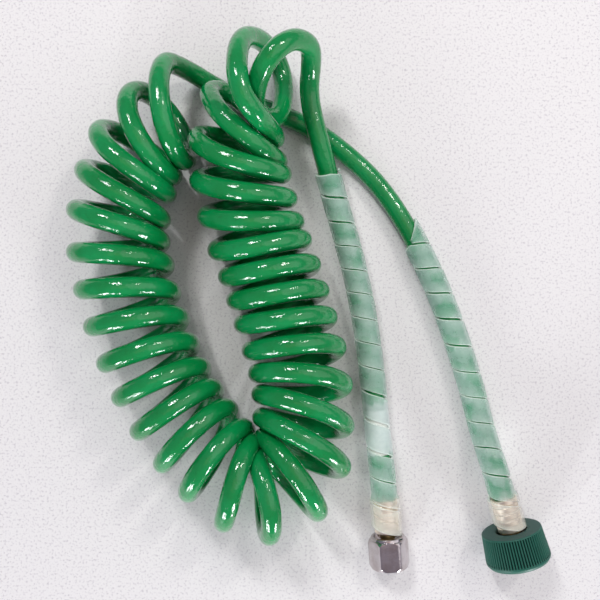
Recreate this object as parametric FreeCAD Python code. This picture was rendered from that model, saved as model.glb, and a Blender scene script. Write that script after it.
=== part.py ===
import FreeCAD, Part
import math
import os

# Coiled garden water hose.  A curly green tube lies in a U on its surface, with two free tails.
# Tail A ends in a crimped ferrule, a barbed stem and a swivelling hex nut.
# Tail B ends in a crimped ferrule, a barbed stem and a swivelling ribbed hose nut.
# Both tails carry a spiral wrap guard, and tail A has a blank label under its guard.
# Millimetres, +Z up, origin on the surface under the middle of the whole object.

os.makedirs("parts", exist_ok=True)

# ---------------------------------------------------------------- driving dimensions
hose_od = 9.5
hose_bore = 6.4
coil_od = 48.6               # outside diameter of the curly part
sides_per_turn = 8           # straight runs that stand for one open turn
arc_share = 0.45             # how much of its shorter run each bend of a tube takes up

guard_gap = 0.3              # hose to guard, filled in part by the label
guard_wall = 1.3
guard_over_ferrule_gap = 0.05
guard_taper = 1.2            # straight stretch before the ferrule where the guard widens
guard_end_gap_a = 1.0        # guard's cut end to the back face of the nut
guard_end_gap_b = 0.6
label_wall = 0.2
label_clearance = 0.02

ferrule_length_a = 16.7
ferrule_length_b = 16.5
ferrule_wall_a = 1.2
ferrule_wall_b = 1.45
ferrule_lip = 1.5            # turned-in front end of the ferrule
ferrule_front_chamfer = 0.6
ferrule_back_chamfer = 0.3
crimp_count = 4
crimp_depth = 0.35
crimp_width = 1.6
crimp_margin = 1.5           # plain metal left at each end of the ferrule
hose_fit = 0.05              # radial clearance, hose to ferrule and hose to barbs

stem_bore = 4.0
barb_depth = 0.35
barb_pitch = 3.2
barb_slope = 0.6             # share of its pitch that a barb rises over
barb_count = 4
barb_lead = 0.6              # plain shank before and after the barbs, together
stem_neck_od_a = 7.0
stem_neck_od_b = 8.8
flange_chamfer = 0.3
bore_spare = 1.0             # how far the hose's open bore runs past the stem

hex_across_flats = 17.5
hex_length = 15.5
hex_collar_od = 16.7
hex_collar_length = 1.5
hex_collar_chamfer = 0.4
hex_thread_minor = 13.2      # plain bore at the thread's crests
hex_thread_length = 6.0
hex_recess_clearance = 0.75  # ferrule to the nut's open back
hex_recess_depth = 2.4
hex_wall = 1.9               # wall that traps the stem's flange
hex_neck_clearance = 0.4
hex_play = 0.6
hex_flange_thickness = 2.0
hex_washer_thickness = 1.6
hex_washer_bore = 6.4
hex_mouth_chamfer = 0.6
hex_front_cut = 1.2          # how far the round chamfer comes in from the corners at the mouth
hex_back_cut = 0.9           # and behind, by the collar
hex_chamfer_angle = 30.0     # from the nut's axis

nut_back_od = 28.8
nut_front_od = 31.0
nut_ribbed_length = 13.3
nut_band_length = 2.7
nut_band_straight = 1.0
nut_band_taper = 1.1
nut_thread_minor = 24.8
nut_thread_length = 6.6
nut_hole_clearance = 1.25    # ferrule to the hose nut's back hole
nut_wall = 2.7
nut_play = 1.5
nut_flange_thickness = 2.0
nut_washer_thickness = 2.3
nut_washer_bore = 14.0
nut_mouth_chamfer = 0.8
nut_edge_chamfer = 0.5
rib_count = 70
rib_depth = 0.55
groove_share = 0.42          # width of a groove, as a share of the ribs' pitch
groove_floor = 0.24

hex_relief_depth = 0.3       # how far the washer's groove goes behind the thread's crests
nut_relief_depth = 0.5
washer_clearance = 0.15
flange_clearance = 0.3

# ---------------------------------------------------------------- worked out from those
hose_r = hose_od / 2
turn_r = (coil_od - hose_od) / 2
coil_r = coil_od / 2
guard_in_r = hose_r + guard_gap
guard_out_r = guard_in_r + guard_wall
guard_rest_z = guard_out_r
stem_shank = barb_count * barb_pitch + barb_lead
ferrule_in_r = hose_r + hose_fit
ferrule_r_a = ferrule_in_r + ferrule_wall_a
ferrule_r_b = ferrule_in_r + ferrule_wall_b
barb_r = hose_bore / 2 - hose_fit
hex_axis_z = hex_across_flats / 2
nut_axis_z = nut_front_od / 2

# ---------------------------------------------------------------- the curly part
# One row for each turn that sets the shape: turn number, x, y and lift of the turn's centre,
# then how far its outer side and its top run ahead along the coil.
turns = [
    (0.0, -63.5, 93.0, 0.1, 9.0, 6.0),
    (1.0, -76.8, 81.6, 0.1, 5.0, 4.0),
    (2.0, -85.3, 68.4, 0.1, 4.4, 2.0),
    (4.0, -91.9, 38.2, 0.0, 3.1, -1.0),
    (6.0, -87.4, 8.2, 0.0, 1.6, -1.5),
    (8.0, -77.5, -21.5, 0.0, -0.8, -2.8),
    (10.0, -63.8, -48.4, 0.0, -2.8, -3.2),
    (18.0, -5.8, -32.3, 0.0, 2.2, 4.0),
    (20.0, -12.8, -5.7, 0.0, 1.0, 1.3),
    (22.0, -20.4, 18.2, 0.0, 1.0, -0.5),
    (24.0, -29.1, 41.5, 0.0, 3.9, -2.5),
    (26.0, -35.1, 70.4, 0.1, 6.1, -4.5),
    (27.0, -32.9, 83.1, 0.1, 5.7, -4.0),
    (28.0, -25.5, 99.4, 0.1, 9.0, -4.0),
]
fat_from, fat_to = 2.0, 26.0  # the turns that one fat tube stands for
first_turn = -0.25           # where tail B leaves the coil
last_turn = 27.125           # where tail A leaves the coil for its two loose loops
fat_steps = 1.4              # turns from one bend of the fat tube to the next
foot_centre = (-28.0, -59.5)
foot_clearance = 0.9         # how much wider the foot of the U bends than the tube's radius
foot_turns = 5
foot_from, foot_to = 208.0, 368.0   # the angles where the foot's bend begins and ends
foot_leg = 20.0              # straight leg each side of the foot

# Tail A from the coil to the hex nut, and tail B from the coil to the hose nut.
tail_a_points = [
    (-49.5, 102.5, 27.0), (-42.5, 105.5, 15.5), (-31.0, 98.5, 14.2), (-23.5, 88.0, 8.2),
    (-17.5, 80.6, 16.0), (-18.5, 81.5, 32.5), (-24.8, 85.0, 50.0), (-31.0, 92.0, 54.5),
    (-33.6, 103.4, 54.0), (-33.5, 117.0, 46.0), (-30.4, 125.1, 36.0), (-24.0, 127.7, 22.5),
    (-17.7, 123.8, 11.0), (-13.9, 112.9, 8.5), (-13.8, 100.0, 14.5), (-17.3, 91.0, 19.0),
    (-24.0, 89.6, 28.0), (-27.0, 93.6, 37.5), (-25.5, 99.4, 45.5), (-22.1, 105.6, 52.5),
    (-15.9, 113.1, 54.5), (-8.2, 119.6, 48.0), (-0.8, 120.0, 37.5), (-0.8, 113.1, 26.5),
    (-1.8, 105.0, 20.5), (-0.3, 94.5, 18.6),
    (3.6, 80.0, 18.3), (10.4, 57.0, 7.0), (17.0, 35.0, guard_rest_z), (23.4, 10.0, guard_rest_z),
    (28.0, -16.5, guard_rest_z), (30.9, -41.5, guard_rest_z), (32.5, -61.5, guard_rest_z),
]
tail_b_points = [
    (-58.5, 115.8, 9.5), (-46.0, 109.0, hose_r), (-28.0, 101.2, hose_r), (-9.5, 94.6, hose_r),
    (4.5, 86.8, hose_r), (17.5, 76.8, hose_r), (30.5, 65.0, hose_r), (42.6, 48.5, guard_rest_z),
    (54.0, 28.0, guard_rest_z), (64.0, 6.5, guard_rest_z), (73.0, -18.5, guard_rest_z),
    (80.2, -42.5, guard_rest_z), (85.0, -62.5, guard_rest_z),
]
# Each fitting: the middle of its nut's back face, the heading of its axis, and the last bend.
heading_a, heading_b = -85.8, -75.6
back_a = (37.25, -112.4, hex_axis_z)
back_b = (96.4, -107.2, nut_axis_z)
hose_end_a, hose_end_b = 3.0, 1.0
straight_a, straight_b = 12.1, 12.0   # from the back of the ferrule to the hose's last bend
ferrule_start_a = ferrule_lip - hose_end_a - ferrule_length_a
ferrule_start_b = ferrule_lip - hose_end_b - ferrule_length_b
bend_a = straight_a - ferrule_start_a
bend_b = straight_b - ferrule_start_b
guard_run_a, guard_run_b = 27, 8     # the run of each tail that its guard starts on
guard_share_a, guard_share_b = 0.3, 0.3   # and how far along that run's straight
label_run, label_share = 32, 0.1


def vec(x, y, z=0.0):
    return FreeCAD.Vector(x, y, z)


def along(heading):
    a = math.radians(heading)
    return vec(math.cos(a), math.sin(a))


def turn_row(u):
    """Centre, lift, skew and lean at any point of the coil, smooth between the rows."""
    i = max(k for k in range(len(turns) - 1) if k == 0 or turns[k][0] <= u)
    row, nxt = turns[i], turns[i + 1]
    before = turns[i - 1] if i > 0 else row
    after = turns[i + 2] if i + 2 < len(turns) else nxt
    span = nxt[0] - row[0]
    t = (u - row[0]) / span
    values = []
    for k in range(1, 6):
        slope_0 = (nxt[k] - before[k]) / (nxt[0] - before[0]) * span
        slope_1 = (after[k] - row[k]) / (after[0] - row[0]) * span
        blend = 3 * t ** 2 - 2 * t ** 3
        start = t * (1 - t) ** 2 * slope_0
        end = t ** 2 * (t - 1) * slope_1
        values.append(row[k] + blend * (nxt[k] - row[k]) + start + end)
    return values


def turn_point(u, radius):
    """A point on the turn at u: u is whole at the top of a turn."""
    x, y, lift, skew, lean = turn_row(u)
    step = 0.05
    ahead, behind = turn_row(u + step), turn_row(u - step)
    t = vec(ahead[0] - behind[0], ahead[1] - behind[1]).normalize()
    n = vec(-t.y, t.x)
    across = n * radius + t * skew
    up = vec(0, 0, radius) + t * lean
    angle = 2 * math.pi * u
    return vec(x, y, coil_r + lift) + across * math.sin(angle) + up * math.cos(angle)


def route_edges(points):
    """Straight runs joined by tangent arcs, each arc as large as its two runs allow."""
    edges, radii = [], []
    start = points[0]
    for i in range(1, len(points) - 1):
        into, out = points[i] - points[i - 1], points[i + 1] - points[i]
        half = into.getAngle(out) / 2
        cut = arc_share * min(into.Length, out.Length)
        radii.append(cut / math.tan(half))
        d_in, d_out = vec(*into).normalize(), vec(*out).normalize()
        p, q = points[i] - d_in * cut, points[i] + d_out * cut
        inward = (d_out - d_in).normalize()
        mid = points[i] + inward * (radii[-1] * (1 / math.cos(half) - 1))
        edges.append(Part.LineSegment(start, p).toShape())
        edges.append(Part.Arc(p, mid, q).toShape())
        start = q
    edges.append(Part.LineSegment(start, points[-1]).toShape())
    return edges, radii


def pipe(edges, radius):
    wire = Part.Wire(edges)
    first = edges[0]
    d = first.tangentAt(first.FirstParameter)
    circle = Part.Circle(first.valueAt(first.FirstParameter), d, radius)
    return wire.makePipeShell([Part.Wire([circle.toShape()])], True, False)


def report(name, solid, edges, radii, section):
    length = sum(e.Length for e in edges)
    print("%s: length %.1f, radii %.1f to %.1f" % (name, length, min(radii), max(radii)))
    print("   volume %.0f, section x length %.0f" % (solid.Volume, section * length))


def turned(profile):
    """A solid of revolution about +X, from (along, radius) points."""
    points = [vec(s, r) for s, r in profile]
    face = Part.Face(Part.Wire(Part.makePolygon(points + points[:1])))
    return face.revolve(vec(0, 0, 0), vec(1, 0, 0), 360)


def ring(s0, s1, r_in, r_out):
    return turned([(s0, r_in), (s1, r_in), (s1, r_out), (s0, r_out)])


def placed(shape, back, heading):
    """Fitting pieces are made along +X with the nut's back face at 0, then laid in place."""
    turn = FreeCAD.Rotation(vec(0, 0, 1), heading)
    out = shape.copy()
    out.Placement = FreeCAD.Placement(vec(*back), turn)
    return out


def save(name, shape):
    """Write one node, with its placement worked into its geometry."""
    if shape.ShapeType == "Compound" and len(shape.Solids) == 1:
        shape = shape.Solids[0]
    print("%-16s valid %s solids %d volume %.0f" % (
        name, shape.isValid(), len(shape.Solids), shape.Volume))
    shape.exportStep("parts/%s.step" % name)


# ---------------------------------------------------------------- hose
def corner_radius(radius, half_angle):
    """How far out the corners of a ring of runs lie, for arcs that just reach the radius."""
    return radius / (1 - 2 * arc_share * (1 - math.cos(half_angle)))


def loop_points(u_from, u_to):
    count = round(abs(u_to - u_from) * sides_per_turn)
    step = (u_to - u_from) / count
    radius = corner_radius(turn_r, math.pi / sides_per_turn)
    return [turn_point(u_from + k * step, radius) for k in range(count + 1)]


def fitting_point(back, heading, s):
    return vec(*back) + along(heading) * s


def tail_route(u_from, u_to, points, back, heading, bend, end):
    loops = loop_points(u_from, u_to)
    tail = [vec(*p) for p in points]
    last = [fitting_point(back, heading, -bend), fitting_point(back, heading, -end)]
    return loops, loops + tail + last


def foot_points():
    """The bend at the foot of the U, as wide as keeps the fat tube clear of itself."""
    sweep = math.radians(foot_to - foot_from) / foot_turns
    bend_r = coil_r + foot_clearance
    corner_r = bend_r / (2 * arc_share * math.cos(sweep / 2))
    corners = []
    for k in range(foot_turns):
        a = math.radians(foot_from) + (k + 0.5) * sweep
        corners.append(vec(*foot_centre, coil_r) + vec(math.cos(a), math.sin(a)) * corner_r)
    first = corners[0] - along(foot_from + 90) * foot_leg
    last = corners[-1] + along(foot_to + 90) * foot_leg
    return [first] + corners + [last]


def coil_axis():
    """The fat tube's axis: the turns' centres down one leg, the foot, and up the other leg."""
    legs = []
    for start, end in ((fat_from, 8.6), (18.6, fat_to)):
        count = round((end - start) / fat_steps)
        rows = [turn_row(start + (end - start) * k / count) for k in range(count + 1)]
        legs.append([vec(row[0], row[1], coil_r) for row in rows])
    return legs[0] + foot_points() + legs[1]


def make_coil():
    edges, radii = route_edges(coil_axis())
    solid = pipe(edges, coil_r)
    report("hose_coil", solid, edges, radii, math.pi * coil_r ** 2)
    return solid


def make_tail(name, route, back, heading, end):
    edges, radii = route_edges(route)
    solid = pipe(edges, hose_r)
    report(name, solid, edges, radii, math.pi * hose_r ** 2)
    bore = ring(-end - stem_shank - bore_spare, -end, 0, hose_bore / 2)
    return solid.cut(placed(bore, back, heading)), edges


# ---------------------------------------------------------------- guards and label
def run_from(edges, loops, run, share):
    """The route's edges from a share of the way along one of the tail's runs."""
    index = 2 * (len(loops) - 1 + run)
    line = edges[index]
    a, b = line.Vertexes[0].Point, line.Vertexes[1].Point
    cut = a + (b - a) * share
    return [Part.LineSegment(cut, b).toShape()] + edges[index + 1:]


def make_guard(edges, loops, run, share, back, heading, ferrule_start, ferrule_r, end_gap):
    """A sleeve along the hose, then a wider straight one over the ferrule, joined in one."""
    path = run_from(edges, loops, run, share)
    taper_start = ferrule_start - guard_taper
    last = path[-1].Vertexes[0].Point
    path[-1] = Part.LineSegment(last, fitting_point(back, heading, taper_start)).toShape()
    tube = pipe(path, guard_out_r).cut(pipe(path, guard_in_r))
    over_r = ferrule_r + guard_over_ferrule_gap
    step = ferrule_start - guard_over_ferrule_gap
    cap = turned([
        (taper_start, guard_in_r), (step, guard_in_r), (step, over_r), (-end_gap, over_r),
        (-end_gap, over_r + guard_wall), (ferrule_start, over_r + guard_wall),
        (taper_start, guard_out_r),
    ])
    return tube.fuse(placed(cap, back, heading)).removeSplitter()


def make_label(edges, loops):
    """Film round the hose, from one straight of the tail to the end of the next."""
    path = run_from(edges, loops, label_run, label_share)[:3]
    inner_r = hose_r + label_clearance
    return pipe(path, inner_r + label_wall).cut(pipe(path, inner_r))


# ---------------------------------------------------------------- fittings
def make_ferrule(length, outer_r, front, neck_r):
    back = front - length
    sleeve = turned([
        (back, ferrule_in_r), (front - ferrule_lip, ferrule_in_r),
        (front - ferrule_lip, neck_r + hose_fit), (front, neck_r + hose_fit),
        (front, outer_r - ferrule_front_chamfer), (front - ferrule_front_chamfer, outer_r),
        (back + ferrule_back_chamfer, outer_r), (back, outer_r - ferrule_back_chamfer),
    ])
    pitch = (length - 2 * crimp_margin) / crimp_count
    beyond_r = outer_r + crimp_depth
    for k in range(crimp_count):
        s = back + crimp_margin + pitch * (k + 0.5)
        w = crimp_width / 2
        groove = turned([
            (s - w, beyond_r), (s - w, outer_r), (s - w / 2, outer_r - crimp_depth),
            (s + w / 2, outer_r - crimp_depth), (s + w, outer_r), (s + w, beyond_r),
        ])
        sleeve = sleeve.cut(groove)
    return sleeve


def make_stem(hose_end, neck_r, flange_from, flange_thickness, flange_r):
    """Barbed shank inside the hose, a neck through the nut, and the flange it traps."""
    root_r = barb_r - barb_depth
    start = -hose_end - stem_shank
    outline = [(start, stem_bore / 2), (start, root_r)]
    for k in range(barb_count):
        s = start + barb_lead / 2 + k * barb_pitch
        crest = s + barb_pitch * barb_slope
        outline += [(s, root_r), (crest, barb_r), (crest, root_r)]
    outline += [(-hose_end, root_r), (-hose_end, neck_r), (flange_from, neck_r)]
    flange_to = flange_from + flange_thickness
    edge_r = flange_r - flange_chamfer
    outline += [(flange_from, edge_r), (flange_from + flange_chamfer, flange_r)]
    outline += [(flange_to - flange_chamfer, flange_r), (flange_to, edge_r)]
    return turned(outline + [(flange_to, stem_bore / 2)])


def make_hex_body():
    """A hexagon with its corners chamfered round at both ends, on a round collar."""
    corner_r = hex_across_flats / math.sqrt(3)
    collar_r = hex_collar_od / 2
    points = []
    for k in range(7):
        a = math.radians(60 * k)
        points.append(vec(hex_collar_length, corner_r * math.cos(a), corner_r * math.sin(a)))
    prism = Part.Face(Part.makePolygon(points)).extrude(vec(hex_length - hex_collar_length, 0, 0))
    slope = math.tan(math.radians(hex_chamfer_angle))
    round_body = turned([
        (hex_collar_length, 0), (hex_collar_length, corner_r - hex_back_cut),
        (hex_collar_length + hex_back_cut / slope, corner_r),
        (hex_length - hex_front_cut / slope, corner_r),
        (hex_length, corner_r - hex_front_cut), (hex_length, 0),
    ])
    collar = turned([
        (0, 0), (0, collar_r - hex_collar_chamfer), (hex_collar_chamfer, collar_r),
        (hex_collar_length, collar_r), (hex_collar_length, 0),
    ])
    return prism.common(round_body).fuse(collar)


def make_hex_nut(neck_r, shoulder):
    minor_r = hex_thread_minor / 2
    recess_r = ferrule_r_a + hex_recess_clearance
    relief_r = minor_r + hex_relief_depth
    relief_to = hex_length - hex_mouth_chamfer - hex_thread_length
    bore = turned([
        (0, 0), (0, recess_r), (hex_recess_depth, recess_r),
        (hex_recess_depth, neck_r + hex_neck_clearance),
        (shoulder, neck_r + hex_neck_clearance), (shoulder, relief_r), (relief_to, relief_r),
        (relief_to, minor_r), (hex_length - hex_mouth_chamfer, minor_r),
        (hex_length, minor_r + hex_mouth_chamfer), (hex_length, 0),
    ])
    return make_hex_body().cut(bore)


def make_hose_nut(shoulder):
    back_r, front_r = nut_back_od / 2, nut_front_od / 2
    hole_r = ferrule_r_b + nut_hole_clearance
    length = nut_ribbed_length + nut_band_length
    minor_r = nut_thread_minor / 2
    relief_r = minor_r + nut_relief_depth
    relief_to = length - nut_mouth_chamfer - nut_thread_length
    body = turned([
        (0, hole_r), (0, back_r - nut_edge_chamfer), (nut_edge_chamfer, back_r),
        (nut_ribbed_length, front_r), (nut_ribbed_length + nut_band_straight, front_r),
        (length, front_r - nut_band_taper), (length, minor_r + nut_mouth_chamfer),
        (length - nut_mouth_chamfer, minor_r), (relief_to, minor_r), (relief_to, relief_r),
        (shoulder, relief_r), (shoulder, hole_r),
    ])
    return body.cut(Part.makeCompound(rib_grooves(back_r, front_r)))


def rib_grooves(back_r, front_r):
    """One V-shaped cutter for each groove between two ribs, laid along the nut's cone."""
    draft = math.atan2(front_r - back_r, nut_ribbed_length)
    half = math.pi * back_r / rib_count * groove_share
    floor_half = groove_floor / 2
    cutters = []
    for k in range(rib_count):
        section = Part.makePolygon([
            vec(0, -half, rib_depth), vec(0, half, rib_depth), vec(0, floor_half, -rib_depth),
            vec(0, -floor_half, -rib_depth), vec(0, -half, rib_depth)])
        cutter = Part.Face(section).extrude(vec(nut_ribbed_length, 0, 0))
        cutter.rotate(vec(0, 0, 0), vec(0, 1, 0), -math.degrees(draft))
        cutter.translate(vec(nut_edge_chamfer, 0, back_r))
        cutter.rotate(vec(0, 0, 0), vec(1, 0, 0), 360.0 * k / rib_count)
        cutters.append(cutter)
    return cutters


def save_hose():
    """The coil, both tails, and the guards and label that follow the tails' routes."""
    save("hose_coil", make_coil())
    loops_a, route_a = tail_route(fat_to, last_turn, tail_a_points, back_a, heading_a, bend_a, hose_end_a)
    loops_b, route_b = tail_route(fat_from, first_turn, tail_b_points, back_b, heading_b, bend_b, hose_end_b)
    tail_a, edges_a = make_tail("hose_tail_a", route_a, back_a, heading_a, hose_end_a)
    tail_b, edges_b = make_tail("hose_tail_b", route_b, back_b, heading_b, hose_end_b)
    save("hose_tail_a", tail_a)
    save("hose_tail_b", tail_b)
    save("wrap_guard_a", make_guard(
        edges_a, loops_a, guard_run_a, guard_share_a, back_a, heading_a,
        ferrule_start_a, ferrule_r_a, guard_end_gap_a))
    save("wrap_guard_b", make_guard(
        edges_b, loops_b, guard_run_b, guard_share_b, back_b, heading_b,
        ferrule_start_b, ferrule_r_b, guard_end_gap_b))
    save("label_sleeve", make_label(edges_a, loops_a))


def save_fitting_a():
    """Ferrule, stem, hex nut and washer, from the hose to the nut's mouth."""
    neck_r = stem_neck_od_a / 2
    shoulder = hex_recess_depth + hex_wall
    flange_from = shoulder + hex_play
    flange_to = flange_from + hex_flange_thickness
    flange_r = hex_thread_minor / 2 - flange_clearance
    washer_r = hex_thread_minor / 2 + hex_relief_depth - washer_clearance
    ferrule = make_ferrule(ferrule_length_a, ferrule_r_a, ferrule_lip - hose_end_a, neck_r)
    stem = make_stem(hose_end_a, neck_r, flange_from, hex_flange_thickness, flange_r)
    washer = ring(flange_to, flange_to + hex_washer_thickness, hex_washer_bore / 2, washer_r)
    save("ferrule_a", placed(ferrule, back_a, heading_a))
    save("stem_a", placed(stem, back_a, heading_a))
    save("hex_nut", placed(make_hex_nut(neck_r, shoulder), back_a, heading_a))
    save("washer_a", placed(washer, back_a, heading_a))


def save_fitting_b():
    """Ferrule, stem, ribbed hose nut and washer, from the hose to the nut's mouth."""
    neck_r = stem_neck_od_b / 2
    flange_from = nut_wall + nut_play
    flange_to = flange_from + nut_flange_thickness
    flange_r = nut_thread_minor / 2 - flange_clearance
    washer_r = nut_thread_minor / 2 + nut_relief_depth - washer_clearance
    ferrule = make_ferrule(ferrule_length_b, ferrule_r_b, ferrule_lip - hose_end_b, neck_r)
    stem = make_stem(hose_end_b, neck_r, flange_from, nut_flange_thickness, flange_r)
    washer = ring(flange_to, flange_to + nut_washer_thickness, nut_washer_bore / 2, washer_r)
    save("ferrule_b", placed(ferrule, back_b, heading_b))
    save("stem_b", placed(stem, back_b, heading_b))
    save("hose_nut", placed(make_hose_nut(nut_wall), back_b, heading_b))
    save("washer_b", placed(washer, back_b, heading_b))


save_hose()
save_fitting_a()
save_fitting_b()
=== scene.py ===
# A coiled green water hose lying in a U on a pale floor, with a hex swivel nut on one tail and a
# ribbed garden hose nut on the other.  Metres, +Z up, origin on the floor under the whole object.
import math
import bpy
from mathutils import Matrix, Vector, noise


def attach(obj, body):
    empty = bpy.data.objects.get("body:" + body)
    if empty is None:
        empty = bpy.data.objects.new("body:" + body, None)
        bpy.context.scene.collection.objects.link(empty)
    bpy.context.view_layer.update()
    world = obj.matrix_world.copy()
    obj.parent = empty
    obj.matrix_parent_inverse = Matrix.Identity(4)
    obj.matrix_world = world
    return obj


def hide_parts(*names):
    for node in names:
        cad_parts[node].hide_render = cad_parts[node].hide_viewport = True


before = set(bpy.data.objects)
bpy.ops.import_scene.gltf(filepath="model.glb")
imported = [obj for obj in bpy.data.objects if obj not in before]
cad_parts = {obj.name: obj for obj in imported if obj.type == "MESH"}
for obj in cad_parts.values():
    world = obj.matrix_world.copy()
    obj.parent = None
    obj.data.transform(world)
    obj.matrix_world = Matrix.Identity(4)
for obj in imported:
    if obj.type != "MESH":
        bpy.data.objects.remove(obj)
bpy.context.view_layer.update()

# ------------------------------------------------------------------------------------ camera
# One camera looks straight down on the hose, and the loose loops are at the far end of its view.
camera_data = bpy.data.cameras.new("camera")
camera_data.lens = 43.2
camera_data.sensor_width = 36.0
camera = bpy.data.objects.new("camera", camera_data)
camera.location = (-0.006, 0.004, 0.365)
bpy.context.scene.collection.objects.link(camera)
bpy.context.scene.camera = camera

# ------------------------------------------------------------------------------------ hose
# The hose is one length of extruded green polyurethane tube, wound hot on a mandrel so that it
# keeps its left-handed coil.  Tail B comes off the first turn and tail A off the last.
HOSE_R = 0.00475
TURN_R = 0.01955
COIL_R = HOSE_R + TURN_R
WRAP_REST = 0.00635          # height of the hose's middle where its guard lies on the floor
NUT_A_BACK = Vector((0.03725, -0.1124, 0.00875))
NUT_B_BACK = Vector((0.0964, -0.1072, 0.0155))
TOWARDS_A = Vector((math.cos(math.radians(-85.8)), math.sin(math.radians(-85.8)), 0))
TOWARDS_B = Vector((math.cos(math.radians(-75.6)), math.sin(math.radians(-75.6)), 0))
HOSE_END_A, HOSE_END_B = 0.003, 0.001    # from the back of the nut to the end of the hose
BEND_A, BEND_B = 0.0303, 0.0280          # and to the hose's last bend
POINTS_PER_TURN = 16

# One row for each turn that sets the coil's shape: turn, x and y of its middle, lift, and how far
# its outer side and its top run ahead along the coil.
coil_rows = [
    (0, -0.0635, 0.0930, 0.0002, 0.0090, 0.0060), (1, -0.0768, 0.0816, 0, 0.0050, 0.0040),
    (2, -0.0853, 0.0684, 0, 0.0044, 0.0020), (4, -0.0919, 0.0382, 0, 0.0031, -0.0010),
    (6, -0.0874, 0.0082, 0, 0.0016, -0.0015), (8, -0.0775, -0.0215, 0, -0.0008, -0.0028),
    (10, -0.0638, -0.0484, 0, -0.0028, -0.0032), (12, -0.0447, -0.0722, 0, -0.0062, -0.0050),
    (13, -0.0334, -0.0819, 0, -0.0078, -0.0030), (14, -0.0192, -0.0864, 0, -0.0030, -0.0005),
    (15, -0.0084, -0.0772, 0, 0.0064, 0.0030), (16, -0.0048, -0.0621, 0, 0.0068, 0.0045),
    (18, -0.0058, -0.0323, 0, 0.0022, 0.0040), (20, -0.0128, -0.0057, 0, 0.0010, 0.0013),
    (22, -0.0204, 0.0182, 0, 0.0010, -0.0005), (24, -0.0291, 0.0415, 0, 0.0039, -0.0025),
    (26, -0.0351, 0.0704, 0, 0.0061, -0.0045), (27, -0.0327, 0.0840, 0, 0.0057, -0.0040),
    (28, -0.0255, 0.1000, 0, 0.0090, -0.0050),
]
FIRST_TURN, LAST_TURN = -0.25, 27.125

tail_a_points = [
    (-0.0495, 0.1025, 0.0270), (-0.0425, 0.1055, 0.0155), (-0.0310, 0.0985, 0.0142),
    (-0.0235, 0.0880, 0.0082), (-0.0175, 0.0806, 0.0160), (-0.0185, 0.0815, 0.0325),
    (-0.0248, 0.0850, 0.0500), (-0.0310, 0.0920, 0.0545), (-0.0336, 0.1034, 0.0540),
    (-0.0335, 0.1170, 0.0460), (-0.0304, 0.1251, 0.0360), (-0.0240, 0.1277, 0.0225),
    (-0.0177, 0.1238, 0.0110), (-0.0139, 0.1129, 0.0085), (-0.0138, 0.1000, 0.0145),
    (-0.0173, 0.0910, 0.0190), (-0.0240, 0.0896, 0.0280), (-0.0270, 0.0936, 0.0375),
    (-0.0255, 0.0994, 0.0455), (-0.0221, 0.1056, 0.0525), (-0.0159, 0.1131, 0.0545),
    (-0.0082, 0.1196, 0.0480), (-0.0008, 0.1200, 0.0375), (-0.0008, 0.1131, 0.0265),
    (-0.0018, 0.1050, 0.0205), (-0.0003, 0.0945, 0.0186), (0.0036, 0.0800, 0.0183),
    (0.0104, 0.0570, 0.0070), (0.0170, 0.0350, WRAP_REST), (0.0234, 0.0100, WRAP_REST),
    (0.0280, -0.0165, WRAP_REST), (0.0309, -0.0415, WRAP_REST), (0.0325, -0.0615, WRAP_REST),
]
tail_b_points = [
    (-0.0585, 0.1158, 0.0095), (-0.0460, 0.1090, HOSE_R), (-0.0280, 0.1012, HOSE_R),
    (-0.0095, 0.0946, HOSE_R), (0.0045, 0.0868, HOSE_R), (0.0175, 0.0768, HOSE_R),
    (0.0305, 0.0650, HOSE_R), (0.0426, 0.0485, WRAP_REST), (0.0540, 0.0280, WRAP_REST),
    (0.0640, 0.0065, WRAP_REST), (0.0730, -0.0185, WRAP_REST), (0.0802, -0.0425, WRAP_REST),
    (0.0850, -0.0625, WRAP_REST),
]


def coil_row(u):
    """Middle, lift and leans at any point of the coil, smooth between the rows."""
    i = max(k for k in range(len(coil_rows) - 1) if k == 0 or coil_rows[k][0] <= u)
    row, after = coil_rows[i], coil_rows[i + 1]
    before = coil_rows[max(i - 1, 0)]
    beyond = coil_rows[min(i + 2, len(coil_rows) - 1)]
    span = after[0] - row[0]
    t = (u - row[0]) / span
    values = []
    for k in range(1, 6):
        slope_in = (after[k] - before[k]) / (after[0] - before[0]) * span
        slope_out = (beyond[k] - row[k]) / (beyond[0] - row[0]) * span
        bend = t * (1 - t) ** 2 * slope_in + t ** 2 * (t - 1) * slope_out
        values.append(row[k] + (3 * t ** 2 - 2 * t ** 3) * (after[k] - row[k]) + bend)
    return values


def coil_point(u):
    """A control point of the coil: u is whole at the top of a turn."""
    x, y, lift, skew, lean = coil_row(u)
    ahead, behind = coil_row(u + 0.05), coil_row(u - 0.05)
    along = Vector((ahead[0] - behind[0], ahead[1] - behind[1], 0)).normalized()
    outward = Vector((-along.y, along.x, 0))
    radius = TURN_R / (0.75 + 0.25 * math.cos(2 * math.pi / POINTS_PER_TURN))
    side = outward * radius + along * skew
    top = Vector((0, 0, radius)) + along * lean
    angle = 2 * math.pi * u
    return Vector((x, y, COIL_R + lift)) + side * math.sin(angle) + top * math.cos(angle)


turn_steps = round((LAST_TURN - FIRST_TURN) * POINTS_PER_TURN)
route = [NUT_B_BACK - TOWARDS_B * HOSE_END_B, NUT_B_BACK - TOWARDS_B * BEND_B]
route += [Vector(p) for p in reversed(tail_b_points)]
route += [coil_point(FIRST_TURN + k / POINTS_PER_TURN) for k in range(turn_steps + 1)]
route += [Vector(p) for p in tail_a_points]
route += [NUT_A_BACK - TOWARDS_A * BEND_A, NUT_A_BACK - TOWARDS_A * HOSE_END_A]

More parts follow.
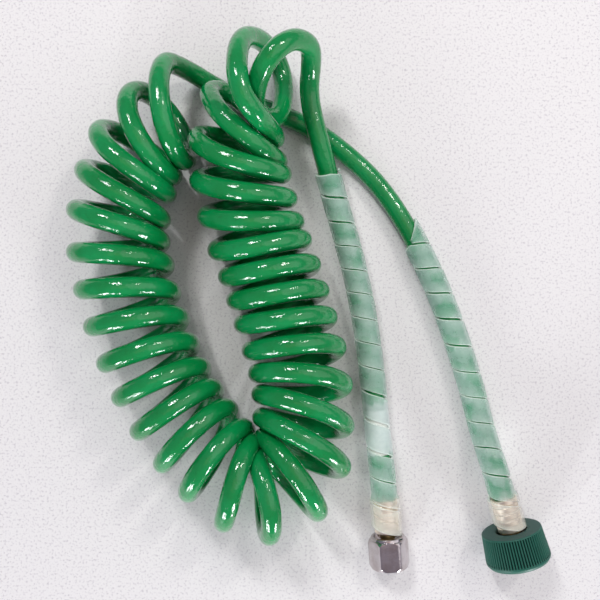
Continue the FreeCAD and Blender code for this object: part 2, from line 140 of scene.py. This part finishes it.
hose_curve = bpy.data.curves.new("hose", "CURVE")
hose_curve.dimensions = "3D"
hose_line = hose_curve.splines.new("NURBS")
hose_line.points.add(len(route) - 1)
for point, place in zip(hose_line.points, route):
    point.co = (*place, 1.0)
hose_line.order_u = 3
hose_line.use_endpoint_u = True
hose_curve.resolution_u = 5


def curve_path(curve):
    """The points that a curve with no bevel passes through, in order."""
    bare = bpy.data.objects.new("bare", curve)
    mesh = bpy.data.meshes.new_from_object(bare)
    points = [v.co.copy() for v in mesh.vertices]
    bpy.data.objects.remove(bare)
    bpy.data.meshes.remove(mesh)
    return points


hose_path = curve_path(hose_curve)
hose_curve.bevel_depth = HOSE_R
hose_curve.bevel_resolution = 10
hose = bpy.data.objects.new("hose", hose_curve)
bpy.context.scene.collection.objects.link(hose)


class Wire:
    """A node's output, which can be added, multiplied and so on, such as 1 - mask."""

    def __init__(self, finish, socket):
        self.finish = finish
        self.socket = socket

    def maths(self, operation, a, b):
        return self.finish.node("ShaderNodeMath", {"operation": operation}, {0: a, 1: b})

    def __add__(self, other):
        return self.maths("ADD", self, other)

    def __sub__(self, other):
        return self.maths("SUBTRACT", self, other)

    def __rsub__(self, other):
        return self.maths("SUBTRACT", other, self)

    def __mul__(self, other):
        return self.maths("MULTIPLY", self, other)

    __radd__ = __add__
    __rmul__ = __mul__

    def clamped(self, low, high):
        """0 at low, 1 at high and held at those outside, easing between them."""
        settings = {"interpolation_type": "SMOOTHSTEP"}
        values = {"Value": self, "From Min": low, "From Max": high}
        return self.finish.node("ShaderNodeMapRange", settings, values)


class Finish:
    """One material: its Principled shader, the constants on it, and the nodes that feed it."""

    def __init__(self, name, **constants):
        self.material = bpy.data.materials.new(name)
        self.material.use_nodes = True
        self.tree = self.material.node_tree
        self.shader = self.tree.nodes["Principled BSDF"]
        for socket, value in constants.items():
            self.feed(socket.replace("_", " "), value)

    def feed(self, socket, value):
        """Sets a socket of the shader to a number, a colour or a wire."""
        self.plug(self.shader.inputs[socket], value)

    def plug(self, socket, value):
        if isinstance(value, Wire):
            self.tree.links.new(value.socket, socket)
        elif isinstance(value, tuple) and socket.type == "RGBA":
            socket.default_value = (*value, 1.0)
        else:
            socket.default_value = value

    def node(self, kind, settings, values, output=0):
        """Any node: its type, its settings first, then the values or wires of its sockets."""
        made = self.tree.nodes.new(kind)
        for name, value in settings.items():
            setattr(made, name, value)
        for name, value in values.items():
            self.plug(made.inputs[name], value)
        return Wire(self, made.outputs[output])

    def place(self, scale=(1, 1, 1)):
        """Position on the piece at rest, stretched by scale."""
        spot = self.node("ShaderNodeTexCoord", {}, {}, "Object")
        return self.node("ShaderNodeMapping", {}, {"Vector": spot, "Scale": scale})

    def grain(self, size, detail=2.0, roughness=0.5, where=None):
        """Soft noise with features of the given size in metres, from 0 to 1."""
        values = {"Vector": where or self.place(), "Scale": 1 / size, "Detail": detail}
        values["Roughness"] = roughness
        return self.node("ShaderNodeTexNoise", {}, values, "Fac")

    def mix(self, share, a, b):
        """Colour a where share is 0 and b where it is 1."""
        values = {"Factor": share, 6: a, 7: b}
        return self.node("ShaderNodeMix", {"data_type": "RGBA"}, values, 2)

    def painted(self, name):
        """A number that the piece's mesh carries at each of its points."""
        return self.node("ShaderNodeAttribute", {"attribute_name": name}, {}, "Fac")

    def bump(self, height, distance, strength=1.0):
        values = {"Height": height, "Distance": distance, "Strength": strength}
        self.feed("Normal", self.node("ShaderNodeBump", {}, values))


def dress(piece, finish):
    """Puts one finish on a new piece or on a CAD node."""
    piece.data.materials.clear()
    piece.data.materials.append(finish.material)


green_tube = Finish("green_polyurethane", IOR=1.5, Coat_Weight=0.3, Coat_Roughness=0.02)
cloud = green_tube.grain(0.016, 2.0)
flow = green_tube.grain(0.0022, 3.0, 0.6)
tone = green_tube.mix(cloud.clamped(0.3, 0.7), (0.0015, 0.205, 0.045), (0.0025, 0.250, 0.066))
streak = flow.clamped(0.5, 0.8) * 0.35
green_tube.feed("Base Color", green_tube.mix(streak, tone, (0.002, 0.12, 0.02)))
green_tube.feed("Roughness", 0.04 + 0.08 * green_tube.grain(0.004, 3.0))
ripple = green_tube.grain(0.0040, 2.0) + 0.35 * green_tube.grain(0.0013, 2.0)
green_tube.bump(ripple, 0.0006, 0.7)
dress(hose, green_tube)
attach(hose, "root")
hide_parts("hose_tail_b", "hose_coil", "hose_tail_a")

# ------------------------------------------------------------------------------------ spiral guards
# Each tail is wound with a strip of milky translucent polyethylene, which keeps the hose from
# kinking at its fitting.  The strip opens up here and there and climbs over the ferrule.
STRIP_WALL = 0.0013
STRIP_INNER = 0.00505
STRIP_STEPS = 44             # rings of the strip in one turn
STRIP_EDGE = 0.0005          # how far in the rounding of each edge reaches
THINNEST = 0.0006            # a narrower stretch of the strip is left out
TAIL_POINTS = 420            # points of the hose's line that a tail is measured along
LABEL_FROM, LABEL_TO = 0.0405, 0.0660
CUT_A, CUT_B = 0.1832, 0.1530            # where each strip starts, behind its nut
CUT_B_SLANT = 0.0060
NUT_GAP = 0.0004             # from the strip's end to the back of the nut
FERRULE_A_START, FERRULE_B_START = 0.0182, 0.0160
FERRULE_A_R, FERRULE_B_R = 0.0060, 0.00625

# Where each winding starts and ends on top of the hose, in millimetres behind the nut.
windings_a = [
    (183.4, 171.0), (169.7, 157.2), (156.2, 144.9), (144.3, 132.8), (132.2, 121.0),
    (120.5, 108.3), (107.8, 96.1), (95.6, 83.8), (83.3, 71.3), (69.9, 56.9), (55.2, 41.3),
    (39.8, 28.1), (27.5, 15.7), (14.6, 2.4), (1.6, -10.0),
]
windings_b = [
    (160.5, 148.0), (147.0, 134.5), (133.6, 121.2), (120.2, 107.6), (106.3, 93.6),
    (92.6, 79.9), (79.2, 66.9), (66.3, 53.6), (52.9, 39.6), (38.8, 27.2), (26.4, 15.4),
    (13.1, 1.1), (0.4, -12.0),
]


def smooth(low, high, x):
    t = min(max((x - low) / (high - low), 0.0), 1.0)
    return t * t * (3 - 2 * t)


class Tail:
    """One tail of the hose, measured in metres back from the back face of its nut."""

    def __init__(self, points, hose_end):
        self.points = points
        self.reach = [hose_end]
        for a, b in zip(points, points[1:]):
            self.reach.append(self.reach[-1] + (b - a).length)
        ends = zip(points[:1] + points, points[1:] + points[-1:])
        self.headings = [(a - b).normalized() for a, b in ends]

    def at(self, back):
        """Middle of the hose, up and left, at a distance behind the nut."""
        i = 0
        while i < len(self.reach) - 2 and self.reach[i + 1] < back:
            i += 1
        share = (back - self.reach[i]) / (self.reach[i + 1] - self.reach[i])
        middle = self.points[i].lerp(self.points[i + 1], share)
        held = min(max(share, 0.0), 1.0)
        ahead = self.headings[i].lerp(self.headings[i + 1], held).normalized()
        up = (Vector((0, 0, 1)) - ahead * ahead.z).normalized()
        return middle, up, up.cross(ahead)


tail_a = Tail(list(reversed(hose_path))[:TAIL_POINTS], HOSE_END_A)
tail_b = Tail(hose_path[:TAIL_POINTS], HOSE_END_B)


def add_mesh(name, verts, faces):
    mesh = bpy.data.meshes.new(name)
    mesh.from_pydata(verts, [], faces)
    mesh.update()
    for face in mesh.polygons:
        face.use_smooth = True
    piece = bpy.data.objects.new(name, mesh)
    bpy.context.scene.collection.objects.link(piece)
    return piece


def strip_section(low, high):
    """Outline of the strip's section: how far across, share of the wall, and how near an edge."""
    edge = min(STRIP_EDGE, (high - low) * 0.3)
    outline = [(low, 0.15, 1), (low, 0.72, 1), (low + edge * 0.3, 0.93, 1), (low + edge, 1.0, 0)]
    for k in range(1, 6):
        share = k / 6
        across = low + edge + (high - low - 2 * edge) * share
        outline.append((across, 1.0 + 0.06 * math.sin(math.pi * share), 0))
    outline += [(high - edge, 1.0, 0), (high - edge * 0.3, 0.93, 1), (high, 0.72, 1)]
    outline += [(high, 0.15, 1), (high - edge * 0.5, 0.0, 1), ((low + high) / 2, 0.0, 0)]
    return outline + [(low + edge * 0.5, 0.0, 1)]


def winding_edges(windings, turn):
    """The strip's two edges at any turn, between the windings' places on top of the hose."""
    i = min(max(int(math.floor(turn)), 0), len(windings) - 2)
    share = turn - i
    (far, near), (next_far, next_near) = windings[i], windings[i + 1]
    return (far + (next_far - far) * share) / 1000, (near + (next_near - near) * share) / 1000


def wind_guard(name, tail, windings, head, last_turn, ferrule_start, ferrule_r,
               label_from=0.0, label_to=0.0):
    """Winds one strip.  head gives where its square-cut start lies at each angle."""
    verts, faces, edges, metal, label = [], [], [], [], []
    rings = 0
    for k in range(-STRIP_STEPS, int(last_turn * STRIP_STEPS) + 1):
        angle = 2 * math.pi * k / STRIP_STEPS
        far, near = winding_edges(windings, k / STRIP_STEPS)
        far, near = min(far, head(angle)), max(near, NUT_GAP)
        if far - near < THINNEST:
            continue
        section = strip_section(near, far)
        for back, wall, edge in section:
            middle, up, left = tail.at(back)
            climb = smooth(ferrule_start + 0.0022, ferrule_start - 0.0002, back)
            swell = 0.00016 * noise.noise(Vector((back * 70, angle * 0.6, 3.1)))
            radius = STRIP_INNER + (ferrule_r + 0.00005 - STRIP_INNER) * climb + max(swell, 0)
            spoke = up * math.cos(angle) + left * math.sin(angle)
            verts.append(middle + spoke * (radius + STRIP_WALL * wall))
            # Near a cut edge the strip gets a painted highlight.
            edges.append(edge)
            # Over the ferrule the strip gets a painted warm glow of the metal beneath.
            metal.append(smooth(ferrule_start + 0.0010, ferrule_start - 0.0006, back))
            # Over the label the strip gets a painted pale glow of the white film beneath.
            label.append(1.0 if label_from < back < label_to else 0.0)
        if rings:
            first, last, n = (rings - 1) * len(section), rings * len(section), len(section)
            for i in range(n):
                after = (i + 1) % n
                faces.append((first + i, last + i, last + after, first + after))
        rings += 1
    n = len(section)
    faces += [tuple(range(n)), tuple(reversed(range((rings - 1) * n, rings * n)))]
    piece = add_mesh(name, verts, faces)
    for title, values in (("cut_edge_highlight", edges), ("over_metal_glow", metal), ("over_label_glow", label)):
        layer = piece.data.attributes.new(title, "FLOAT", "POINT")
        layer.data.foreach_set("value", [float(v) for v in values])
    return piece


def cut_a(angle):
    return CUT_A


def cut_b(angle):
    return CUT_B + CUT_B_SLANT * math.sin(angle)


guard_a = wind_guard("spiral_guard_a", tail_a, windings_a, cut_a, 13.30,
                     FERRULE_A_START, FERRULE_A_R, LABEL_FROM, LABEL_TO)
guard_b = wind_guard("spiral_guard_b", tail_b, windings_b, cut_b, 11.28,
                     FERRULE_B_START, FERRULE_B_R)

milky_strip = Finish("milky_polyethylene", IOR=1.45)
# Over the hose the strip's colour is a painted green glow of the hose beneath, greener in patches where
# the strip touches it. A real milky haze is mixed in below.
hose_glow_patches = milky_strip.grain(0.010, 2.0).clamped(0.47, 0.60)
haze = milky_strip.grain(0.0021, 3.0)
cut_edge_highlight = milky_strip.painted("cut_edge_highlight")
over_metal_glow = milky_strip.painted("over_metal_glow")
over_label_glow = milky_strip.painted("over_label_glow")
painted_hose_glow = milky_strip.mix(hose_glow_patches, (0.37, 0.62, 0.51), (0.15, 0.49, 0.31))
# Over the ferrule the strip is painted warm white, a painted glow of the metal beneath. There it is
# also more see-through.
strip_tone_and_glow = milky_strip.mix(over_metal_glow, painted_hose_glow, (0.95, 0.90, 0.80))
# Over the label the strip is painted paler, a painted glow of the white film beneath.
strip_tone_and_glow = milky_strip.mix(over_label_glow, strip_tone_and_glow, (0.74, 0.88, 0.86))
strip_tone_and_glow = milky_strip.mix(haze * 0.3, strip_tone_and_glow, (0.72, 0.80, 0.74))
# A painted highlight runs pale along each cut edge of the strip, which is also more opaque there.
milky_strip.feed("Base Color", milky_strip.mix(cut_edge_highlight * 0.7, strip_tone_and_glow, (0.86, 0.93, 0.86)))
milky_strip.feed("Alpha", 0.34 + 0.10 * haze + 0.3 * cut_edge_highlight - 0.14 * over_metal_glow)
milky_strip.feed("Roughness", 0.22 + 0.2 * haze)
milky_strip.bump(hose_glow_patches * 0.5 + 0.2 * haze, 0.0003, 0.5)
for guard, node in ((guard_a, "wrap_guard_a"), (guard_b, "wrap_guard_b")):
    dress(guard, milky_strip)
    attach(guard, "root")
    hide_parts(node)

# ------------------------------------------------------------------------------------ label
# A strip of white film lies round the hose under the first guard.  It is left blank.
blank_film = Finish("blank_white_film", Roughness=0.45)
crease = blank_film.grain(0.004, 3.0)
blank_film.feed("Base Color", blank_film.mix(crease, (0.72, 0.76, 0.70), (0.86, 0.88, 0.84)))
blank_film.bump(crease, 0.0002, 0.5)
dress(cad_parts["label_sleeve"], blank_film)

# ------------------------------------------------------------------------------------ ferrules
# Thin metal sleeves, rolled down on the hose end with four grooves.  They show through the guard.
rolled_metal = Finish("rolled_ferrule_metal", Metallic=1.0)
tarnish = rolled_metal.grain(0.003, 4.0, 0.6)
scratch = rolled_metal.grain(0.0009, 3.0, 0.6, rolled_metal.place((1, 6, 1)))
rolled_metal.feed("Base Color", rolled_metal.mix(tarnish, (0.78, 0.66, 0.52), (0.95, 0.88, 0.76)))
rolled_metal.feed("Roughness", 0.2 + 0.25 * tarnish + 0.1 * scratch)
rolled_metal.bump(scratch, 0.0001, 0.5)
for node in ("ferrule_a", "ferrule_b"):
    dress(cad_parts[node], rolled_metal)

# ------------------------------------------------------------------------------------ stems and washers
# Turned brass stems with barbs inside the hose, and the flat rubber washers that seal against them.
turned_brass = Finish("turned_brass", Metallic=1.0)
lathe_marks = turned_brass.grain(0.0006, 2.0, 0.5, turned_brass.place((0.2, 1, 1)))
brass_tone = turned_brass.mix(lathe_marks, (0.58, 0.42, 0.18), (0.78, 0.62, 0.32))
turned_brass.feed("Base Color", brass_tone)
turned_brass.feed("Roughness", 0.22 + 0.2 * lathe_marks)
turned_brass.bump(lathe_marks, 0.00008, 0.4)
black_rubber = Finish("black_rubber", Roughness=0.6)
bloom = black_rubber.grain(0.002, 4.0)
rubber_tone = black_rubber.mix(bloom, (0.012, 0.012, 0.013), (0.035, 0.034, 0.033))
black_rubber.feed("Base Color", rubber_tone)
black_rubber.feed("Roughness", 0.5 + 0.25 * bloom)
black_rubber.bump(bloom, 0.00015, 0.5)
for node in ("stem_a", "stem_b"):
    dress(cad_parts[node], turned_brass)
for node in ("washer_a", "washer_b"):
    dress(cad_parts[node], black_rubber)

# ------------------------------------------------------------------------------------ hex nut
# A plated brass nut, turned from hexagon bar: rounded corners, a chamfer cut round each end, a
# recess behind for the ferrule, and a fine thread inside its mouth.
HEX_FLATS = 0.0175
HEX_LENGTH = 0.0155
HEX_COLLAR_R = 0.00835
HEX_COLLAR = 0.0015
HEX_RECESS_R = 0.00675
HEX_FRONT_CUT, HEX_BACK_CUT = 0.0012, 0.0009
HEX_MINOR = 0.0066
HEX_MOUTH = 0.0006
HEX_THREAD_BACK = 0.0089
HEX_PITCH = 0.00106
HEX_EDGE = 0.0007            # how far each side of a corner is rounded off
HEX_FACE_R = 0.0086          # edge of each end face
HEX_RELIEF_R = 0.0069        # behind the thread
HEX_SHOULDER, HEX_NECK_R = 0.0042, 0.0039
HEX_RECESS = 0.0024


def lathe(name, outline, angles, shape, origin, heading):
    """A closed turned piece: outline points (along, radius, tag) swept round the angles.
    shape(along, radius, tag, angle) gives the final distance along and radius."""
    left = Vector((-heading.y, heading.x, 0))
    up = Vector((0, 0, 1))
    verts, faces, n = [], [], len(outline)
    for angle in angles:
        spoke = left * math.cos(angle) + up * math.sin(angle)
        for along, radius, tag in outline:
            s, r = shape(along, radius, tag, angle)
            verts.append(origin + heading * s + spoke * r)
    for j in range(len(angles)):
        a, b = j * n, (j + 1) % len(angles) * n
        faces += [(a + i, a + (i + 1) % n, b + (i + 1) % n, b + i) for i in range(n)]
    return add_mesh(name, verts, faces)


def run(start, end, count, tag):
    """count + 1 outline points from start to end, each an (along, radius) pair."""
    points = []
    for k in range(count + 1):
        along = start[0] + (end[0] - start[0]) * k / count
        points.append((along, start[1] + (end[1] - start[1]) * k / count, tag))
    return points


def hex_radius(angle):
    """Distance to the side of a hexagon with rounded corners, at an angle from a corner."""
    off = abs((angle + math.pi / 6) % (math.pi / 3) - math.pi / 6)
    flat = HEX_FLATS / 2 / math.cos(math.pi / 6 - off)
    beyond = off * HEX_FLATS / math.sqrt(3) / HEX_EDGE
    return flat - 0.00016 * math.exp(-beyond ** 2)


def hex_shape(along, radius, tag, angle):
    if tag == "side":
        corner = HEX_FLATS / math.sqrt(3)
        slope = math.tan(math.radians(30))
        front = corner - HEX_FRONT_CUT + (HEX_LENGTH - along) * slope
        back = corner - HEX_BACK_CUT + (along - HEX_COLLAR) * slope
        return along, min(hex_radius(angle), front, back)
    if tag == "thread":
        phase = (along / HEX_PITCH - angle / (2 * math.pi)) % 1.0
        cut = 1 - abs(2 * phase - 1)
        fade = smooth(HEX_THREAD_BACK, HEX_THREAD_BACK + 0.0006, along)
        return along, radius + 0.00055 * max(0.0, cut - 0.15) * fade
    return along, radius


hex_outline = run((0.0, HEX_RECESS_R + 0.0002), (0.0, HEX_COLLAR_R - 0.0004), 3, "face")
hex_outline += [(0.00005, HEX_COLLAR_R - 0.00022, "face"), (0.00018, HEX_COLLAR_R - 0.00006, "face")]
hex_outline += [(0.0004, HEX_COLLAR_R, "face"), (HEX_COLLAR - 0.0001, HEX_COLLAR_R, "face")]
hex_outline += [(HEX_COLLAR, HEX_COLLAR_R + 0.0001, "face"), (HEX_COLLAR, HEX_FACE_R, "face")]
hex_outline += run((HEX_COLLAR + 0.00005, 0.0), (0.0034, 0.0), 14, "side")
hex_outline += run((0.0045, 0.0), (0.0120, 0.0), 4, "side")
hex_outline += run((0.0130, 0.0), (HEX_LENGTH - 0.00005, 0.0), 18, "side")
hex_outline += run((HEX_LENGTH, HEX_FACE_R), (HEX_LENGTH, HEX_MINOR + HEX_MOUTH), 3, "face")
hex_outline += run((HEX_LENGTH - HEX_MOUTH, HEX_MINOR), (HEX_THREAD_BACK, HEX_MINOR), 64, "thread")
hex_outline += [(HEX_THREAD_BACK - 0.0002, HEX_RELIEF_R, "bore"), (HEX_SHOULDER, HEX_RELIEF_R, "bore")]
hex_outline += [(HEX_SHOULDER, HEX_NECK_R, "bore"), (HEX_RECESS, HEX_NECK_R, "bore")]
hex_outline += [(HEX_RECESS, HEX_RECESS_R, "bore"), (0.0002, HEX_RECESS_R, "bore")]
hex_angles = []
for side in range(6):
    for off in (0, 1, 2, 3, 4, 6, 9, 13, 18, 24, 30, 36, 42, 47, 51, 54, 56, 57, 58, 59):
        hex_angles.append(math.radians(60 * side + off))
hex_nut = lathe("hex_nut_plated", hex_outline, hex_angles, hex_shape, NUT_A_BACK, TOWARDS_A)

plated = Finish("bright_plating", Metallic=1.0)
smudge = plated.grain(0.005, 4.0, 0.55)
drawn = plated.grain(0.0016, 3.0, 0.6, plated.place((1, 0.08, 1)))
plated.feed("Base Color", plated.mix(smudge.clamped(0.35, 0.7), (0.60, 0.56, 0.58), (0.48, 0.43, 0.43)))
plated.feed("Roughness", 0.05 + 0.08 * smudge + 0.05 * drawn)
plated.bump(drawn + smudge, 0.00012, 0.4)
dress(hex_nut, plated)
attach(hex_nut, "hex_nut")
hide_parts("hex_nut")

# ------------------------------------------------------------------------------------ hose nut
# A moulded nylon nut with fine ribs for the fingers, a smooth band at its mouth, and a coarse
# garden hose thread inside.
NUT_LENGTH = 0.0160
NUT_BACK_R, NUT_FRONT_R = 0.0144, 0.0155
RIB_START, RIB_END = 0.0005, 0.0133
RIB_COUNT = 70
RIB_DEPTH = 0.00070
STEPS_PER_RIB = 10
NUT_MINOR = 0.0124
NUT_THREAD_BACK = 0.0086
NUT_PITCH = 0.00221
NUT_HOLE_R = 0.0075
NUT_RELIEF_R = 0.0129        # behind the thread
NUT_SHOULDER = 0.0026
GROOVE_STEPS = 1.8           # half of a groove's floor, in steps


def nut_shape(along, radius, tag, angle):
    if tag == "ribs":
        share = (along - RIB_START) / (RIB_END - RIB_START)
        body = NUT_BACK_R + (NUT_FRONT_R - NUT_BACK_R) * share
        ends = smooth(0.0, 0.04, share) * smooth(1.0, 0.965, share)
        wave = 0.5 - 0.5 * math.cos(RIB_COUNT * angle)
        return along, body - RIB_DEPTH * ends * smooth(0.25, 0.85, wave)
    if tag == "thread":
        phase = (along / NUT_PITCH - angle / (2 * math.pi)) % 1.0
        cut = max(0.0, 1 - abs(2 * phase - 1) * 1.25)
        fade = smooth(NUT_THREAD_BACK, NUT_THREAD_BACK + 0.001, along)
        return along, radius + 0.0009 * cut * fade
    return along, radius


nut_outline = run((0.0, NUT_HOLE_R + 0.0003), (0.0, NUT_BACK_R - 0.0006), 4, "face")
nut_outline += [(0.0001, NUT_BACK_R - 0.0003, "face"), (0.0003, NUT_BACK_R - 0.0001, "face")]
nut_outline += run((RIB_START, 0.0), (0.0014, 0.0), 6, "ribs")
nut_outline += run((0.0030, 0.0), (0.0118, 0.0), 4, "ribs")
nut_outline += run((0.0126, 0.0), (RIB_END, 0.0), 5, "ribs")
nut_outline += run((0.0136, NUT_FRONT_R), (0.0143, NUT_FRONT_R), 2, "face")
nut_outline += [(0.0147, 0.01538, "face"), (0.0152, 0.0150, "face"), (0.0157, 0.01465, "face")]
nut_outline += [(0.0159, 0.0145, "face"), (NUT_LENGTH, 0.0142, "face"), (NUT_LENGTH, 0.0132, "face")]
nut_outline += run((0.0152, NUT_MINOR), (NUT_THREAD_BACK, NUT_MINOR), 42, "thread")
nut_outline += [(0.0085, NUT_RELIEF_R, "bore"), (NUT_SHOULDER, NUT_RELIEF_R, "bore")]
nut_outline += [(NUT_SHOULDER, NUT_HOLE_R, "bore"), (0.0002, NUT_HOLE_R, "bore")]
nut_steps = RIB_COUNT * STEPS_PER_RIB
nut_angles = [2 * math.pi * k / nut_steps for k in range(nut_steps)]
hose_nut = lathe("hose_nut_ribbed", nut_outline, nut_angles, nut_shape, NUT_B_BACK, TOWARDS_B)

nylon = Finish("teal_nylon", IOR=1.5)
moulding = nylon.grain(0.005, 3.0)
fine_grain = nylon.grain(0.0004, 2.0)
nylon.feed("Base Color", nylon.mix(moulding, (0.002, 0.078, 0.052), (0.003, 0.118, 0.078)))
nylon.feed("Roughness", 0.38 + 0.2 * fine_grain)
nylon.bump(fine_grain, 0.00006, 0.5)
dress(hose_nut, nylon)

# The floors of the grooves are painted nearly black as painted shade, and the back face is rubbed dull.
groove_shade = Finish("painted_groove_shade", Roughness=0.8, IOR=1.2)
groove_shade_grain = groove_shade.grain(0.0012, 3.0)
groove_shade.feed("Base Color", groove_shade.mix(groove_shade_grain, (0.004, 0.013, 0.012), (0.007, 0.026, 0.022)))
groove_shade.bump(groove_shade_grain, 0.00008, 0.6)
rubbed = Finish("rubbed_nylon", IOR=1.5)
rubbing = rubbed.grain(0.003, 4.0, 0.6)
rubbed.feed("Base Color", rubbed.mix(rubbing, (0.018, 0.060, 0.052), (0.036, 0.100, 0.085)))
rubbed.feed("Roughness", 0.5 + 0.25 * rubbing)
rubbed.bump(rubbing, 0.0001, 0.4)
hose_nut.data.materials.append(groove_shade.material)
hose_nut.data.materials.append(rubbed.material)
# Faces on the floors of the ribs' grooves take the painted groove shade.
for face in hose_nut.data.polygons:
    step, place = divmod(face.index, len(nut_outline))
    in_groove = abs(step % STEPS_PER_RIB + 0.5 - STEPS_PER_RIB / 2) < GROOVE_STEPS
    if nut_outline[place][2] == "ribs" and nut_outline[place - 2][2] == "ribs" and in_groove:
        face.material_index = 1
    elif nut_outline[place][0] < 0.00005 or nut_outline[place][2] == "bore":
        face.material_index = 2
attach(hose_nut, "hose_nut")
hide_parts("hose_nut")

# ------------------------------------------------------------------------------------ floor and light
# A plain flecked pale floor under a broad soft light from one side.  Small bright lamps beyond the
# loops and windows beyond the nuts give the hose its highlights.
floor_mesh = bpy.data.meshes.new("floor")
floor_mesh.from_pydata([(-2, -2, 0), (2, -2, 0), (2, 2, 0), (-2, 2, 0)], [], [(0, 1, 2, 3)])
floor = bpy.data.objects.new("floor", floor_mesh)
bpy.context.scene.collection.objects.link(floor)
pale = Finish("pale_floor", Roughness=0.7)
speck = pale.grain(0.0012, 4.0, 0.7).clamped(0.52, 0.64)
drift = pale.grain(0.15, 2.0)
surface = pale.mix(drift, (0.76, 0.75, 0.75), (0.80, 0.79, 0.78))
pale.feed("Base Color", pale.mix(speck * 0.6, surface, (0.44, 0.41, 0.45)))
dress(floor, pale)


def add_window(name, towards, distance, width, height, brightness, colour):
    """A pane of soft light that faces the hose from the given direction."""
    data = bpy.data.lights.new(name, "AREA")
    data.shape = "RECTANGLE"
    data.size, data.size_y = width, height
    data.energy = brightness * math.pi * width * height
    data.color = colour
    light = bpy.data.objects.new(name, data)
    direction = Vector(towards).normalized()
    light.location = direction * distance
    light.rotation_euler = (-direction).to_track_quat("-Z", "Y").to_euler()
    bpy.context.scene.collection.objects.link(light)


add_window("ceiling_east", (0.62, 0.18, 0.76), 1.2, 1.4, 1.4, 0.82, (1.0, 0.99, 0.97))
add_window("lamp_north_1", (-0.33, 0.60, 0.74), 1.0, 0.07, 0.22, 65, (1.0, 1.0, 1.0))
add_window("lamp_north_2", (-0.20, 0.62, 0.75), 1.0, 0.04, 0.16, 60, (1.0, 1.0, 1.0))
add_window("lamp_north_3", (0.43, 0.52, 0.74), 1.0, 0.06, 0.14, 60, (1.0, 0.98, 0.9))
add_window("window_south_1", (-0.52, -0.83, 0.25), 1.2, 0.09, 0.30, 48, (0.95, 0.98, 1.0))
add_window("window_south_2", (-0.30, -0.90, 0.25), 1.2, 0.09, 0.30, 48, (0.95, 0.98, 1.0))
add_window("window_south_3", (0.50, -0.86, 0.18), 1.2, 0.20, 0.26, 46, (0.95, 0.98, 1.0))

# The room is a little darker and cooler near the floor, and warm and brighter straight above.
world = bpy.data.worlds.new("room")
world.use_nodes = True
sky = world.node_tree
towards = sky.nodes.new("ShaderNodeTexCoord")
height = sky.nodes.new("ShaderNodeSeparateXYZ")
shade = sky.nodes.new("ShaderNodeValToRGB")
bands = ((0.0, (0.19, 0.18, 0.24)), (0.5, (0.24, 0.23, 0.30)),
         (0.94, (0.30, 0.27, 0.31)), (0.98, (0.66, 0.50, 0.45)))
while len(shade.color_ramp.elements) < len(bands):
    shade.color_ramp.elements.new(1.0)
for element, (place, colour) in zip(shade.color_ramp.elements, bands):
    element.position = place
    element.color = (*colour, 1.0)
sky.links.new(towards.outputs["Generated"], height.inputs["Vector"])
sky.links.new(height.outputs["Z"], shade.inputs["Fac"])
sky.links.new(shade.outputs["Color"], sky.nodes["Background"].inputs["Color"])
bpy.context.scene.world = world
bpy.context.scene.view_settings.view_transform = "Standard"
